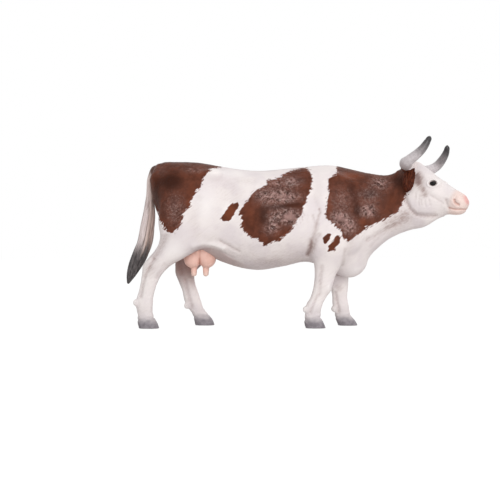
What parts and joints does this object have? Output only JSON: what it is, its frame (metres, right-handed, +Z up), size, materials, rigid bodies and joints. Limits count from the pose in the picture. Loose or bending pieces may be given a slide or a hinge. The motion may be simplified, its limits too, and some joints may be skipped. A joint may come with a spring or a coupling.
{
  "type": "cow figure",
  "caption": "Standing cow figurine in painted vinyl, head turned to one side, with horns, hanging ears, a long tail and an udder; stands on its hooves as a toy or ornament.",
  "frame": {"origin": "on the ground under the middle of the figure's box", "axes": "+X the way the cow faces, +Y to the cow's left, +Z up"},
  "size_m": [0.1378, 0.038, 0.0763],
  "materials": {
    "coat": "painted vinyl, off-white with red-brown patches and grey hooves",
    "horn": "painted vinyl, pale grey running to black at the tip",
    "ear": "painted vinyl, dark red-brown",
    "tail": "painted vinyl, streaked white and grey-brown to a dark switch",
    "udder": "painted vinyl, flesh pink"
  },
  "bodies": {
    "root": {"trunk_right_half": "coat", "trunk_left_half": "coat", "head": "coat", "right_foreleg": "coat", "left_foreleg": "coat", "right_hind_leg": "coat", "left_hind_leg": "coat", "right_horn": "horn", "left_horn": "horn", "right_ear": "ear", "left_ear": "ear", "tail": "tail", "udder": "udder"}
  },
  "joints": []
}
